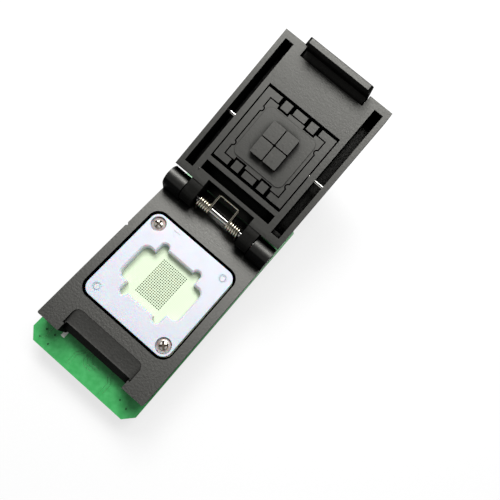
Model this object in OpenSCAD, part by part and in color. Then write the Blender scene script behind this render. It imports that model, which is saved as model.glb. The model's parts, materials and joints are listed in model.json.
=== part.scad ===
// Clamshell test-socket adapter for ball-grid memory chips, standing on two
// rows of round header pins, with its lid swung open.
//
// Frame: X across the board, Y from the latch end to the hinge end, Z up.
// The origin is the middle of the pin field, on the under side of the strips,
// which is the plane that seats on a zero-force socket.
// Inside at_socket() Y = 0 is the hinge axis and Z = 0 the top of the base.
// Inside at_lid() the lid is drawn closed: Z = 0 is its inner face, Z grows
// towards its outer face, and the module swings it to the open angle.

/* [Board and header pins] */
// How far the board stands out past the base on each side
board_side = 0.5; // [0.3:0.1:1]
// Length of the circuit board
board_l = 63; // [62:0.5:70]
// How far the board stands off centre to the left
board_shift = 0.15; // [0:0.05:0.4]
// Thickness of the circuit board
board_t = 1.6; // [1.0:0.1:2.4]
// Cut at each corner of the board
board_corner = 2.3; // [1:0.1:3]
// Length of board that shows in front of the base
board_front = 5.8; // [4:0.1:8]
// Pins in one row
pin_count = 24; // [20:1:24]
// Distance between neighbouring pins
pin_pitch = 2.54; // [2.5:0.01:2.56]
// Distance between the two pin rows
row_spacing = 15.24; // [14:0.01:17]
// Diameter of a pin's tip
pin_d = 0.5; // [0.4:0.02:0.6]
// Length of a pin below its strip
pin_len = 3.2; // [2.6:0.1:5]
// Diameter of a pin's collar
collar_d = 1.3; // [1.0:0.05:1.6]
// Height of a header strip
strip_h = 2.5; // [2:0.1:3.5]
// Width of a header strip
strip_w = 2.4; // [2.1:0.05:2.5]

/* [Socket base] */
// Width of the base
base_w = 30.6; // [30.2:0.1:31]
// Hinge axis to the front of the base
base_front = 42.15; // [41.8:0.05:43]
// Hinge axis to the rear of the base
base_rear = 3.8; // [3.1:0.1:3.9]
// Height of the base above the board
base_h = 7.4; // [7:0.1:9]
// Radius of the upright corners of the base
base_corner = 0.4; // [0.2:0.1:1.2]
// Width of the notch that takes the latch
notch_w = 18.6; // [18:0.1:19.5]
// Depth of that notch at the top of the base
notch_depth = 3; // [2.6:0.1:3.2]
// How far the catch ledge stands out into the notch
ledge_out = 2.05; // [1.9:0.05:2.2]
// Depth of the catch ledge's under face below the top
ledge_z = 3.2; // [2.8:0.1:3.4]
// Length of the finger scoop behind the notch
scoop_l = 3.4; // [2.4:0.1:4]
// Depth of the finger scoop at the notch
scoop_depth = 0.7; // [0.4:0.1:1]
// Width of the finger scoop
scoop_w = 19.6; // [18.8:0.2:22]
// Radius of the scoop's rear corners
scoop_r = 2.8; // [1.5:0.1:3.2]

/* [Frame and contact plates] */
// Hinge axis to the middle of the chip seat
seat_y = 20; // [19.7:0.05:20.3]
// Side of the square recess in the base
recess_w = 26; // [25.6:0.1:26.4]
// Corner radius of the recess
recess_r = 2.9; // [2.4:0.1:3.4]
// Side of the square guide frame
frame_w = 24.7; // [24:0.1:25.2]
// Corner radius of the guide frame
frame_r = 2.3; // [1.6:0.1:3]
// Depth of the frame's top below the top of the base
frame_drop = 0.4; // [0.2:0.1:0.8]
// Thickness of the guide frame
frame_t = 2.4; // [2.0:0.1:2.8]
// Thickness of the contact plate
plate_t = 1.2; // [0.8:0.1:1.6]
// Thickness of the retainer plate
retainer_t = 1.8; // [1.4:0.1:2]
// Side of the square that the four frame holes stand on
hole_square = 20; // [19.6:0.1:20.4]
// Chip pocket across
pocket_w = 11.8; // [11.6:0.1:12.2]
// Chip pocket along
pocket_l = 13.2; // [13.1:0.1:13.6]
// Side lobes of the aperture, across
lobe_w = 17.5; // [16:0.1:18]
// Side lobes of the aperture, along
lobe_l = 9.2; // [8:0.1:10]
// Corner radius of the side lobes
lobe_r = 1.5; // [1:0.1:2]
// Radius of the relief at each pocket corner
ear_r = 1; // [0.8:0.05:1.2]
// Width of the bevel round the aperture
aperture_bevel = 0.35; // [0.2:0.05:0.5]

/* [Contacts] */
// Distance between neighbouring contacts
ball_pitch = 0.5; // [0.48:0.01:0.5]
// Holes across the contact plate
holes_x = 15; // [14:1:16]
// Holes along the contact plate
holes_y = 20; // [18:2:22]
// Diameter of a hole in the contact plate
hole_d = 0.32; // [0.28:0.01:0.36]
// Diameter of a contact's plunger
contact_d = 0.2; // [0.14:0.01:0.22]
// Depth of the contact tips below the plate's top
contact_sunk = 0.25; // [0.1:0.05:0.5]

/* [Hinge] */
// Angle between the open and the closed lid
open_angle = 161.2; // [150:0.2:170]
// Height of the hinge axis above the top of the base
hinge_rise = 3; // [2.95:0.05:3.2]
// Radius of the hinge barrels
barrel_r = 2.7; // [2.4:0.05:2.75]
// Length of each hinge barrel
barrel_len = 4.9; // [4.6:0.1:5]
// Width of each hinge lug on the lid
lug_w = 3.35; // [3:0.05:3.5]
// Gap between a lug and its barrel
lug_gap = 0.25; // [0.2:0.05:0.4]
// Diameter of the hinge pin
hinge_pin_d = 1.6; // [1.4:0.05:1.8]
// Radial clearance of the hinge pin in the lugs
hinge_clear = 0.05; // [0.03:0.01:0.08]
// Wire diameter of the hinge spring
hinge_wire = 0.6; // [0.5:0.02:0.66]
// Turns in each coil of the hinge spring
hinge_turns = 5; // [4:1:5]
// Gap between the spring's coils and the lugs
coil_gap = 0.5; // [0.4:0.05:0.8]
// Gap between the spring's bridge and the far wall of the hinge bay
bridge_gap = 1.3; // [1:0.05:1.6]

/* [Lid] */
// Hinge axis to the near edge of the lid
lid_near = 3; // [2.95:0.05:3.1]
// Hinge axis to the far edge of the lid
lid_far = 42.15; // [41.9:0.05:42.4]
// Thickness of the lid
lid_t = 8; // [8:0.1:9]
// Gap between the closed lid and the base
seat_gap = 0.05; // [0.05:0.05:0.2]
// Outer rim of the lid beside each side slot
rim_w = 1.25; // [1.1:0.05:1.4]
// Width of each side slot
slot_w = 2.35; // [2:0.05:2.5]
// Depth of the side slots
slot_depth = 6; // [5:0.1:6.5]
// Hinge axis to the near end of the side slots
slot_near = 4.9; // [4.7:0.1:5.6]
// Hinge axis to the far end of the side slots
slot_far = 40.4; // [39.8:0.1:40.6]
// Width of the channel beside the hinge
channel_w = 20.2; // [19:0.1:20.6]
// Width of the channel along the lid
channel_l = 2.4; // [2:0.05:2.5]
// Depth of the channel
channel_depth = 4; // [3:0.1:5]
// Ridge between the channel and the pusher's pocket
channel_ridge = 1.2; // [1:0.05:1.4]
// Wall between the channel and the hinge bay
bay_wall = 0.9; // [0.7:0.05:1.2]
// Depth of the hinge bay from the inner face
bay_depth = 6.2; // [5.8:0.1:6.6]

/* [Pusher] */
// Wall between a side slot and the pusher's pocket
slot_web = 1.5; // [1.4:0.05:1.7]
// Length of the pusher frame
pusher_l = 19.55; // [19.4:0.05:19.7]
// Thickness of the pusher frame
pusher_t = 5.4; // [5:0.1:5.6]
// Gap between the pusher frame and the sides of its pocket
pusher_side_gap = 0.35; // [0.3:0.05:0.5]
// Gap between the pusher frame and the ends of its pocket
pusher_end_gap = 0.75; // [0.5:0.05:0.9]
// Depth of the lid pocket that takes the pusher
pusher_pocket = 6.3; // [6.3:0.1:6.6]
// Width of the pusher frame's side bars
bar_w = 1.75; // [1.6:0.05:1.9]
// Width of the pusher frame's end bars
end_bar = 1.6; // [1.4:0.05:1.8]
// How far the posts reach in past the end bars
post_reach = 0.62; // [0.5:0.02:0.7]
// Thickness of the frame's front lip
lip_t = 3; // [2.9:0.1:3.2]
// Gap between the pressure plate and the frame
plate_gap = 0.3; // [0.25:0.05:0.35]
// Width of the pressing pad
pad_w = 7.2; // [6.6:0.1:7.6]
// Length of the pressing pad
pad_l = 8.6; // [8:0.1:9]
// Height of the pressing pad
pad_h = 1.75; // [1.4:0.05:1.85]
// Width of the cross grooves in the pad
pad_groove = 0.3; // [0.2:0.05:0.4]
// Travel of the pressure plate into the pusher frame
plate_travel = 0.5; // [0.3:0.05:0.6]
// Diameter of the pusher's pivot pins
pivot_d = 1; // [0.9:0.05:1.2]
// Depth of the pivot pins below the inner face
pivot_z = 1.9; // [1.7:0.1:2]
// Hinge axis to the pivot pins
pivot_y = 20.2; // [20:0.05:20.4]

/* [Latch] */
// Width of the latch
latch_w = 17.4; // [16.6:0.1:17.6]
// Height of the hook above the lid's inner face
hook_h = 4.3; // [4.1:0.05:4.4]
// Hinge axis to the outer face of the hook
hook_out = 42.6; // [42.3:0.05:42.7]
// Width of the hook's top face
hook_top = 1.45; // [1.3:0.05:1.5]
// How far the sloping nose reaches in past the hook's top face
nose_out = 0.5; // [0.4:0.05:0.6]
// Wall of the hook above its nose
neck_w = 1.2; // [1:0.05:1.25]
// Height of the nose
nose_h = 0.95; // [0.8:0.05:1]
// Gap between the latch and the sides of its slot
latch_gap = 0.3; // [0.25:0.05:0.5]
// Depth of the latch's axis below the inner face
latch_axis_z = 3.2; // [3:0.1:3.4]
// Hinge axis to the latch's axis
latch_axis_y = 41; // [40.9:0.05:41.1]
// Diameter of the latch pin
latch_pin_d = 1.2; // [1:0.05:1.3]
// How far the thumb lever stands out past the hook
lever_out = 0.5; // [0.3:0.1:0.8]

/* [Hidden] */
$fn = 48;
eps = 0.01;
// Running gap between flat faces that meet, and fit of a pressed pin
face_gap = 0.02;
press_gap = 0.01;

// The board is a little wider than the base
board_w = base_w + 2 * board_side;

// Levels
z_board = strip_h;
z_top = z_board + board_t + base_h;
z_axis = z_top + hinge_rise;
y_axis = board_front + base_front - board_l / 2;
strip_gap = 0.15;
lid_axis_z = hinge_rise - seat_gap;

// Screws that hold the frame and the base
screw_d = 1.9;
screw_hole = screw_d + 0.1;
head_d = 3.4;
head_h = 1;
head_sink = 1.05;
frame_screw_len = 5.6;
base_screw_len = 5.6;
base_screw_gap = 1.48;
base_screw_x = (row_spacing + strip_w + head_d) / 2 + base_screw_gap;
base_screw_front = 36.6;
base_screw_rear = 1.2;

// Plates under the frame
plate_z = -frame_drop - frame_t;
retainer_z = plate_z - plate_t - face_gap;
recess_depth = frame_drop + frame_t + plate_t + retainer_t + 2 * face_gap;
plate_w = frame_w + 0.3;
well_w = holes_x * ball_pitch + 2;
well_l = holes_y * ball_pitch + 2;
dowel_d = 1.6;
dowel_hole = 2.1;

// Width and pockets of the lid, which is as wide as the base
lid_w = base_w;
barrel_in = base_w / 2 - barrel_len;
lug_out = barrel_in - lug_gap;
lug_in = lug_out - lug_w;
lug_r = hinge_rise - 0.3;
lug_heel = hinge_rise - 0.05;
slot_in = lid_w / 2 - rim_w - slot_w;
pocket_x = slot_in - slot_web;
pusher_w = 2 * (pocket_x - pusher_side_gap);
pocket_y = pusher_l / 2 + pusher_end_gap;
channel_far = seat_y - pocket_y - channel_ridge;
channel_near = channel_far - channel_l;
bay_far = channel_near - bay_wall;
step_l = 1.05;
step_depth = 1.2;
lid_edge = 1.2;

// Pusher frame and pressure plate
window_x = pusher_w / 2 - bar_w;
window_y = pusher_l / 2 - end_bar;
post_in = 2.68;
post_far = 4.82;
post_gap = 0.5;
gap_w = 1;
bump_y = 4.95;
bump_r = 0.5;
cavity_x = window_x + 0.85;
cavity_y = window_y + 0.85;
flange_t = 0.8;
flange_x = cavity_x - 0.3;
flange_y = cavity_y - 0.3;
flange_z = lip_t + 0.05;
plateau_h = 0.2;
plateau_x = window_x - plate_gap - 0.8;
plateau_y = window_y - plate_gap - 1.175;
plate_spring_d = 2.2;
plate_spring_wire = 0.32;
plate_spring_turns = 4;
plate_spring_edge = 2.8;
plate_spring_x = window_x - plate_gap - plate_spring_edge;
plate_spring_y = window_y - plate_gap - plate_spring_edge;
spring_seat_z = 1.6;

// Latch
latch_slot = 2.85;
latch_boss_r = 1.35;
lever_top = lid_t + 0.4;
latch_spring_d = 2;
latch_spring_wire = 0.3;
latch_spring_turns = 4;
latch_spring_x = 5;
latch_spring_z = lid_t - 1.7;
latch_spring_pocket = 2;
lever_in = latch_axis_y - 0.75;

// Frames of reference
module at_socket() {
    translate([0, y_axis, z_top]) children();
}

module at_seat() {
    at_socket() translate([0, -seat_y, 0]) children();
}

module at_lid() {
    translate([0, y_axis, z_axis])
        rotate([-open_angle, 0, 0])
        translate([0, 0, -lid_axis_z])
        children();
}

module at_pusher() {
    at_lid() translate([0, -seat_y, 0]) children();
}

// Rectangle with round corners, centred
module round_rect(w, l, r) {
    square([w - 2 * r, l], center = true);
    square([w, l - 2 * r], center = true);
    for (x = [-1, 1], y = [-1, 1])
        translate([x * (w / 2 - r), y * (l / 2 - r)]) circle(r);
}

// The same rectangle as a plate from z up
module round_plate(w, l, r, z, t) {
    translate([0, 0, z]) linear_extrude(t) round_rect(w, l, r);
}

// Block given by its low corner and its high corner
module span(a, b) {
    translate(a) cube(b - a);
}

// Outline in Y and Z, extruded along X about the middle
module side_profile(w) {
    translate([-w / 2, 0, 0])
        rotate([90, 0, 90])
        linear_extrude(w)
        children();
}

// Bevelled mouth of a round-cornered opening, widening upwards over its height
module bevel_mouth(w, l, r, z, b) {
    translate([0, 0, z]) {
        for (turn = [0, 90]) {
            half = turn == 0 ? w / 2 : l / 2;
            run = (turn == 0 ? l : w) - 2 * r;
            rotate([90, 0, turn])
                translate([0, 0, -run / 2])
                linear_extrude(run)
                polygon([[-half, 0], [half, 0], [half + b, b], [half + b, b + 1],
                    [-half - b, b + 1], [-half - b, b]]);
        }
        for (x = [-1, 1], y = [-1, 1])
            translate([x * (w / 2 - r), y * (l / 2 - r), 0]) {
                cylinder(h = b, r1 = r, r2 = r + b);
                translate([0, 0, b]) cylinder(h = 1, r = r + b);
            }
    }
}

// Aperture of the guide frame seen from above
module aperture() {
    round_rect(lobe_w, lobe_l, lobe_r);
    square([pocket_w, pocket_l], center = true);
    for (x = [-1, 1], y = [-1, 1])
        translate([x * (pocket_w / 2 - ear_r), y * (pocket_l / 2 + 0.1)]) circle(ear_r);
}

// Places of the pins in one header row
function pin_y(i) = (i - (pin_count - 1) / 2) * pin_pitch;

// Contacts of a fourteen by fourteen ball field: three outer rings, one inner
// ring and one index contact
function in_field(i, j) =
    let (edge = min(i, 13 - i, j, 13 - j))
    edge < 3 || edge == 4 || (i == 3 && j == 3);
contact_spots = [for (i = [0:13], j = [0:13]) if (in_field(i, j))
    [(i - (holes_x - 1) / 2) * ball_pitch, (j - 6.5) * ball_pitch]];

// Wire of round section swept along a list of points, with flat ends
function unit(v) = v / norm(v);
function tangent(p, i) =
    unit(p[min(i + 1, len(p) - 1)] - p[max(i - 1, 0)]);
module wire(p, r, sides = 6) {
    up = [0.0123, 0.0456, 1];
    points = [for (i = [0:len(p) - 1])
        let (t = tangent(p, i), a = unit(cross(t, abs(t[0]) > 0.6 ? up : [1, 0.02, 0.03])),
            b = cross(t, a))
        for (k = [0:sides - 1])
            p[i] + r * (cos(360 * k / sides) * a + sin(360 * k / sides) * b)];
    n = len(p);
    polyhedron(points, concat(
        [[for (k = [0:sides - 1]) sides - 1 - k]],
        [for (i = [0:n - 2], k = [0:sides - 1])
            [i * sides + k, i * sides + (k + 1) % sides, (i + 1) * sides + (k + 1) % sides]],
        [for (i = [0:n - 2], k = [0:sides - 1])
            [i * sides + k, (i + 1) * sides + (k + 1) % sides, (i + 1) * sides + k]],
        [[for (k = [0:sides - 1]) (n - 1) * sides + k]]));
}

// Compression spring standing on Z, from 0 to h
module coil_spring(h, d, wire_d, turns) {
    steps = 9;
    r = (d - wire_d) / 2;
    rise = (h - wire_d) / turns;
    wire([for (i = [0:steps * turns])
        [r * cos(360 * i / steps), r * sin(360 * i / steps), wire_d / 2 + rise * i / steps]],
        wire_d / 2, 5);
}

// Pan-head screw, its head's under face at z = 0, shank downwards
module pan_screw(length, turn) {
    drive_w = 0.55;
    drive_l = 2;
    drive_depth = 0.6;
    difference() {
        union() {
            translate([0, 0, -length]) cylinder(h = length, d = screw_d);
            rotate_extrude() intersection() {
                translate([0, head_h - 2.6]) circle(2.6);
                square([head_d / 2, head_h]);
            }
        }
        rotate(turn) for (a = [0, 90])
            rotate(a)
            translate([-drive_l / 2, -drive_w / 2, head_h - drive_depth])
            cube([drive_l, drive_w, head_h]);
    }
}

// Board outline with its four corners cut
module board_outline() {
    x = board_w / 2;
    y = board_l / 2;
    c = board_corner;
    translate([-board_shift, 0])
    polygon([[-x + c, -y], [x - c, -y], [x, -y + c], [x, y - c],
        [x - c, y], [-x + c, y], [-x, y - c], [-x, -y + c]]);
}

// Places of the four screws that hold the base to the board
base_screw_spots = [for (x = [-1, 1], y = [base_screw_front, base_screw_rear])
    [x * base_screw_x, y_axis - y]];

module circuit_board() {
    color("seagreen")
    translate([0, 0, z_board])
    linear_extrude(board_t)
    difference() {
        board_outline();
        for (p = base_screw_spots) translate(p) circle(d = screw_hole);
    }
}

module header_strip(side) {
    length = pin_count * pin_pitch;
    color("dimgray")
    translate([side * row_spacing / 2, 0, 0])
    difference() {
        translate([-strip_w / 2, -length / 2, strip_gap])
            cube([strip_w, length, strip_h - strip_gap]);
        for (i = [0:pin_count - 1])
            translate([0, pin_y(i), -eps]) cylinder(h = strip_h + 1, d = collar_d + 2 * press_gap);
        for (i = [1:pin_count - 1], x = [-1, 1])
            translate([x * strip_w / 2, pin_y(i) - pin_pitch / 2, -eps])
            rotate(45) translate([-0.15, -0.15, 0]) cube([0.3, 0.3, strip_h + 1]);
    }
}

module header_pins(side) {
    taper = 0.3;
    neck = 0.2;
    color("gold")
    for (i = [0:pin_count - 1])
        translate([side * row_spacing / 2, pin_y(i), 0])
        rotate_extrude()
        polygon([[0, -pin_len], [pin_d / 2 - 0.1, -pin_len], [pin_d / 2, taper - pin_len],
            [pin_d / 2, neck], [collar_d / 2, 2 * neck], [collar_d / 2, strip_h], [0, strip_h]]);
}

module header_strip_left() { header_strip(-1); }
module header_strip_right() { header_strip(1); }
module header_pins_left() { header_pins(-1); }
module header_pins_right() { header_pins(1); }

// Side view of the notch with its sloping catch ledge, open to the front
module notch_profile() {
    back = -base_front + notch_depth;
    front = -base_front - 1;
    ledge = back - ledge_out;
    polygon([[back, 1], [back, 0], [ledge, -ledge_z + 0.5], [ledge, -ledge_z],
        [back - 0.5, -ledge_z], [back - 0.5, -base_h - 1], [front, -base_h - 1], [front, 1]]);
}

// Sloping thumb scoop behind the notch
module finger_scoop() {
    back = -base_front + notch_depth;
    intersection() {
        translate([0, back + scoop_l / 2, -2]) linear_extrude(3) {
            round_rect(scoop_w, scoop_l, min(scoop_r, scoop_l / 2 - 0.1));
            translate([-scoop_w / 2, -scoop_l / 2 - 1]) square([scoop_w, scoop_l / 2 + 1]);
        }
        side_profile(scoop_w + 1)
            polygon([[back - 1, 1], [back - 1, -scoop_depth], [back, -scoop_depth],
                [back + scoop_l, -0.12], [back + scoop_l + 1, -0.12], [back + scoop_l + 1, 1]]);
    }
}

// One barrel on its pedestal
module hinge_barrel(side) {
    x = side > 0 ? barrel_in : -base_w / 2;
    translate([x, 0, hinge_rise]) rotate([0, 90, 0]) cylinder(h = barrel_len, r = barrel_r);
    translate([x, -barrel_r, -eps]) cube([barrel_len, 2 * barrel_r, hinge_rise + eps]);
}

module socket_base() {
    length = base_front + base_rear;
    color("dimgray")
    difference() {
        at_socket() difference() {
            union() {
                translate([0, base_rear - length / 2, 0])
                    round_plate(base_w, length, base_corner, -base_h, base_h);
                for (side = [-1, 1]) hinge_barrel(side);
            }
            side_profile(notch_w) notch_profile();
            finger_scoop();
            translate([0, -seat_y, 0]) {
                round_plate(recess_w, recess_w, recess_r, -recess_depth, recess_depth + 1);
                translate([-well_w / 2, -well_l / 2, -base_h - 1])
                    cube([well_w, well_l, base_h]);
                for (side = [-1, 1])
                    translate([side * hole_square / 2, -side * hole_square / 2, -base_h - 1])
                    cylinder(h = base_h + 1, d = screw_hole);
            }
            translate([-base_w / 2 - 1, 0, hinge_rise])
                rotate([0, 90, 0]) cylinder(h = base_w + 2, d = hinge_pin_d + 2 * press_gap);
            // Locating groove in the left side
            translate([-base_w / 2, -15, -base_h - 1])
                rotate(45) translate([-0.3, -0.3, 0]) cube([0.6, 0.6, base_h + 2]);
        }
        for (p = base_screw_spots)
            translate([p[0], p[1], z_board]) cylinder(h = base_screw_len + 0.2, d = screw_hole);
    }
}

module base_screws() {
    color("silver")
    for (p = base_screw_spots)
        translate([p[0], p[1], z_board - face_gap])
        mirror([0, 0, 1])
        pan_screw(base_screw_len, 20);
}

// Round-cornered plate drilled for the four frame holes
module drilled_plate(w, r, z, t, hole) {
    difference() {
        round_plate(w, w, r, z, t);
        for (x = [-1, 1], y = [-1, 1])
            translate([x * hole_square / 2, y * hole_square / 2, z - 1])
            cylinder(h = t + 2, d = hole);
    }
}

module retainer_plate() {
    color("darkkhaki")
    at_seat()
    difference() {
        drilled_plate(plate_w, frame_r, retainer_z - retainer_t, retainer_t, screw_hole);
        for (p = contact_spots)
            translate([p[0], p[1], retainer_z - retainer_t - 1])
            cylinder(h = retainer_t + 2, d = hole_d + 0.06, $fn = 16);
    }
}

module contact_pins() {
    barrel = hole_d / 2;
    bottom = -base_h;
    shoulder = retainer_z - 0.2;
    tip = plate_z - contact_sunk;
    color("gold")
    at_seat()
    for (p = contact_spots)
        translate(p)
        rotate_extrude($fn = 16)
        polygon([[0, bottom], [barrel - 0.06, bottom], [barrel, bottom + 0.2],
            [barrel, shoulder], [contact_d / 2, shoulder + 0.1], [contact_d / 2, tip - 0.12],
            [0.03, tip], [0, tip]]);
}

module contact_plate() {
    color("honeydew")
    at_seat()
    difference() {
        drilled_plate(plate_w, frame_r, plate_z - plate_t, plate_t, screw_hole);
        for (i = [0:holes_x - 1], j = [0:holes_y - 1])
            translate([(i - (holes_x - 1) / 2) * ball_pitch, (j - (holes_y - 1) / 2) * ball_pitch,
                plate_z - plate_t - 1])
            cylinder(h = plate_t + 2, d = hole_d, $fn = 16);
    }
}

module guide_frame() {
    bottom = plate_z + face_gap;
    top = -frame_drop;
    mouth = top - aperture_bevel;
    b = aperture_bevel;
    color("ghostwhite")
    at_seat()
    difference() {
        round_plate(frame_w, frame_w, frame_r, bottom, top - bottom);
        translate([0, 0, bottom - 1]) linear_extrude(frame_t + 2) aperture();
        bevel_mouth(lobe_w, lobe_l, lobe_r, mouth, b);
        bevel_mouth(pocket_w, pocket_l, 0.3, mouth, b);
        for (x = [-1, 1], y = [-1, 1])
            translate([x * (pocket_w / 2 - ear_r), y * (pocket_l / 2 + 0.1), mouth])
            cylinder(h = b, r1 = ear_r, r2 = ear_r + b);
        for (side = [-1, 1]) {
            translate([side * hole_square / 2, -side * hole_square / 2, bottom - 1])
                cylinder(h = frame_t + 2, d = screw_hole);
            translate([side * hole_square / 2, -side * hole_square / 2, top - head_sink])
                cylinder(h = head_sink + 1, d = head_d + 0.35);
            translate([side * hole_square / 2, side * hole_square / 2, bottom - 1])
                cylinder(h = frame_t + 2, d = dowel_hole);
        }
        // Corner mark for the chip's first contact
        translate([-5.3, seat_y - 9.5, top - 0.12])
            linear_extrude(1) polygon([[-0.9, 0.8], [0.9, 0.8], [0, -0.8]]);
    }
}

module frame_screws() {
    color("silver")
    at_seat()
    for (side = [-1, 1])
        translate([side * hole_square / 2, -side * hole_square / 2,
            -frame_drop - head_sink + face_gap])
        pan_screw(frame_screw_len, side > 0 ? 45 : 0);
}

module locating_pins() {
    dome = 0.25;
    top = -frame_drop - 0.1;
    foot = retainer_z - retainer_t;
    color("white")
    at_seat()
    for (side = [-1, 1])
        translate([side * hole_square / 2, side * hole_square / 2, 0])
        rotate_extrude()
        polygon([[0, foot], [dowel_d / 2, foot], [dowel_d / 2, top - dome],
            [dowel_d / 2 - dome, top], [0, top]]);
}

module hinge_pin() {
    end = 0.2;
    length = base_w - 2 * end;
    color("silver")
    at_socket()
    translate([-length / 2, 0, hinge_rise])
    rotate([0, 90, 0])
    rotate_extrude()
    polygon([[0, 0], [hinge_pin_d / 2 - 0.15, 0], [hinge_pin_d / 2, 0.15],
        [hinge_pin_d / 2, length - 0.15], [hinge_pin_d / 2 - 0.15, length], [0, length]]);
}

// Double torsion spring: foot, left coil, bridge, right coil, foot, in one wire
module hinge_spring() {
    steps = 14;
    r = hinge_pin_d / 2 + 0.12 + hinge_wire / 2;
    outer = lug_in - coil_gap - hinge_wire / 2;
    inner = outer - (hinge_turns + 0.25) * (hinge_wire + 0.01);
    // The bridge leans on the back of the hinge bay, the feet stand on the base
    lean = 180 - open_angle;
    reach = bay_far - bridge_gap;
    foot_z = -hinge_rise + hinge_wire / 2 + 0.05;
    start = 90 + lean;
    turn = 360 * hinge_turns + 90;
    coil = [for (i = [0:steps * turn / 360])
        let (a = start + 360 * i / steps)
        [inner + (outer - inner) * 360 * i / steps / turn, r * cos(a), r * sin(a)]];
    arm = [[inner, reach * cos(lean), r + reach * sin(lean)],
        [inner, 0.5 * reach * cos(lean), r + 0.5 * reach * sin(lean)]];
    foot = [[outer, -r - 0.05, -0.9 * r], [outer, -r - 0.1, foot_z]];
    half = concat(arm, coil, foot);
    other = [for (i = [len(half) - 1:-1:0]) [-half[i][0], half[i][1], half[i][2]]];
    color("silver")
    at_socket()
    translate([0, 0, hinge_rise])
    wire(concat(other, half), hinge_wire / 2, 6);
}

// Side view of the closed lid with its outer edges rounded
module lid_profile() {
    r = lid_edge;
    difference() {
        translate([-lid_far, 0]) square([lid_far - lid_near, lid_t]);
        translate([-lid_far - eps, lid_t - r]) square([r + eps, r + eps]);
        translate([-lid_near - r, lid_t - r]) square([r + eps, r + eps]);
    }
    translate([-lid_far + r, lid_t - r]) circle(r);
    translate([-lid_near - r, lid_t - r]) circle(r);
}

// One hinge lug with the heel that stops the lid when it is open
module hinge_lug(side) {
    x = side > 0 ? lug_in : -lug_out;
    low = lid_axis_z - lug_r;
    span([x, -lid_near - 1.5, low], [x + lug_w, 0, low + 2 * lug_r]);
    translate([x, 0, lid_axis_z]) rotate([0, 90, 0]) cylinder(h = lug_w, r = lug_r);
    translate([x, 0, lid_axis_z])
        rotate([open_angle, 0, 0])
        translate([0, 0, -lug_heel])
        cube([lug_w, lug_heel - 0.1, lug_heel]);
}

module lid() {
    slot_top = lid_w / 2 - rim_w;
    color("dimgray")
    at_lid()
    difference() {
        union() {
            side_profile(lid_w) lid_profile();
            for (side = [-1, 1]) hinge_lug(side);
        }
        // Pocket of the pusher
        span([-pocket_x, -seat_y - pocket_y, -1], [pocket_x, -seat_y + pocket_y, pusher_pocket]);
        // Side slots
        for (x = [-slot_top, slot_in]) {
            near = x < 0 ? slot_near : slot_near + step_l;
            span([x, -slot_far, -1], [x + slot_w, -near, slot_depth]);
            span([x, -slot_far, -1], [x + slot_w, -slot_near, step_depth]);
        }
        // Channel and hinge bay
        span([-channel_w / 2, -channel_far, -1], [channel_w / 2, -channel_near, channel_depth]);
        span([-lug_in, -bay_far, -1], [lug_in, 1, bay_depth]);
        // Slot of the latch, with its spring pockets and pin holes
        span([-latch_w / 2 - latch_gap, -lid_far - 1, -1],
            [latch_w / 2 + latch_gap, -lid_far + latch_slot, lid_t + 1]);
        for (x = [-1, 1])
            translate([x * latch_spring_x, -lid_far + latch_slot - 1, latch_spring_z])
            rotate([-90, 0, 0])
            cylinder(h = latch_spring_pocket + 1, d = latch_spring_d + 0.3);
        translate([-slot_top, -latch_axis_y, latch_axis_z])
            rotate([0, 90, 0]) cylinder(h = 2 * slot_top, d = latch_pin_d + 2 * press_gap);
        // Holes of the pivot pins and of the hinge pin
        translate([-lid_w / 2 - 1, -pivot_y, pivot_z])
            rotate([0, 90, 0]) cylinder(h = lid_w + 2, d = pivot_d + 2 * press_gap);
        translate([-lug_out - 1, 0, lid_axis_z])
            rotate([0, 90, 0])
            cylinder(h = 2 * lug_out + 2, d = hinge_pin_d + 2 * hinge_clear);
    }
}

module pivot_pins() {
    in = window_x + 0.35;
    out = lid_w / 2;
    color("silver")
    at_lid()
    for (x = [in, -out])
        translate([x, -pivot_y, pivot_z])
        rotate([0, 90, 0])
        cylinder(h = out - in, d = pivot_d);
}

// Front opening of the pusher frame: a window with posts and bumps at its edge
module pusher_window() {
    difference() {
        square([2 * window_x, 2 * window_y], center = true);
        for (x = [-1, 1], y = [-1, 1]) {
            translate([x * (post_in + post_far) / 2, y * window_y])
                square([post_far - post_in, 2 * post_reach], center = true);
            translate([x * window_x, y * bump_y]) circle(bump_r);
        }
    }
}

module pusher_frame() {
    pin_gap = 0.04;
    color("dimgray")
    at_pusher()
    difference() {
        translate([0, 0, pusher_t / 2])
            cube([pusher_w, pusher_l, pusher_t], center = true);
        translate([0, 0, -1]) linear_extrude(pusher_t + 2) pusher_window();
        translate([0, 0, lip_t])
            linear_extrude(pusher_t) square([2 * cavity_x, 2 * cavity_y], center = true);
        // Relief slots beside the posts
        for (x = [-1, 1], y = [-1, 1], at = [post_in - gap_w / 2, post_far + gap_w / 2])
            translate([x * at, y * pusher_l / 2, 0])
            cube([gap_w, 2 * end_bar + eps, 2 * (lip_t - 0.9)], center = true);
        translate([-lid_w / 2, seat_y - pivot_y, pivot_z])
            rotate([0, 90, 0]) cylinder(h = lid_w, d = pivot_d + 2 * pin_gap);
    }
}

// Face of the pressure plate: the window less a running gap
module plate_face() {
    g = plate_gap;
    difference() {
        square([2 * (window_x - g), 2 * (window_y - g)], center = true);
        for (x = [-1, 1], y = [-1, 1]) {
            translate([x * (post_in + post_far) / 2, y * window_y])
                square([post_far - post_in + 2 * post_gap, 2 * (post_reach + post_gap)], center = true);
            translate([x * window_x, y * bump_y]) circle(bump_r + g);
        }
    }
}

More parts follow.
